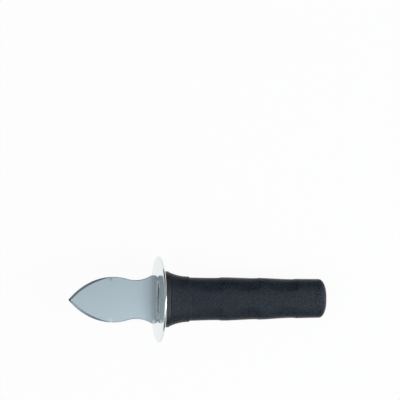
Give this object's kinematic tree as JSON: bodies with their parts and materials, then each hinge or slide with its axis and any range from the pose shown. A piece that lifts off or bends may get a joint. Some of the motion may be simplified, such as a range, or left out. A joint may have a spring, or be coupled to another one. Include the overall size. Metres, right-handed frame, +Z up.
{
  "type": "oyster knife",
  "caption": "Oyster knife with a short spade-shaped steel blade, a round steel hand guard and a moulded dark handle with finger scoops.",
  "frame": {"origin": "on the floor, under the middle of the knife's outline as it lies at rest on the rim of its guard and the end of its handle", "axes": "+X along the knife from the tip to the end of the handle, +Y across the blade, +Z up; the knife's own axis slopes down by 10.3 degrees towards +X"},
  "size_m": [0.1727, 0.0578, 0.0569],
  "materials": {
    "steel": "polished stainless steel",
    "core": "hard black plastic, satin",
    "grip": "soft blue-black plastic with a fine moulded grain"
  },
  "bodies": {
    "root": {"blade": "steel", "hand_guard": "steel", "guard_weld": "steel", "handle_core": "core", "handle_grip": "grip"}
  },
  "joints": []
}
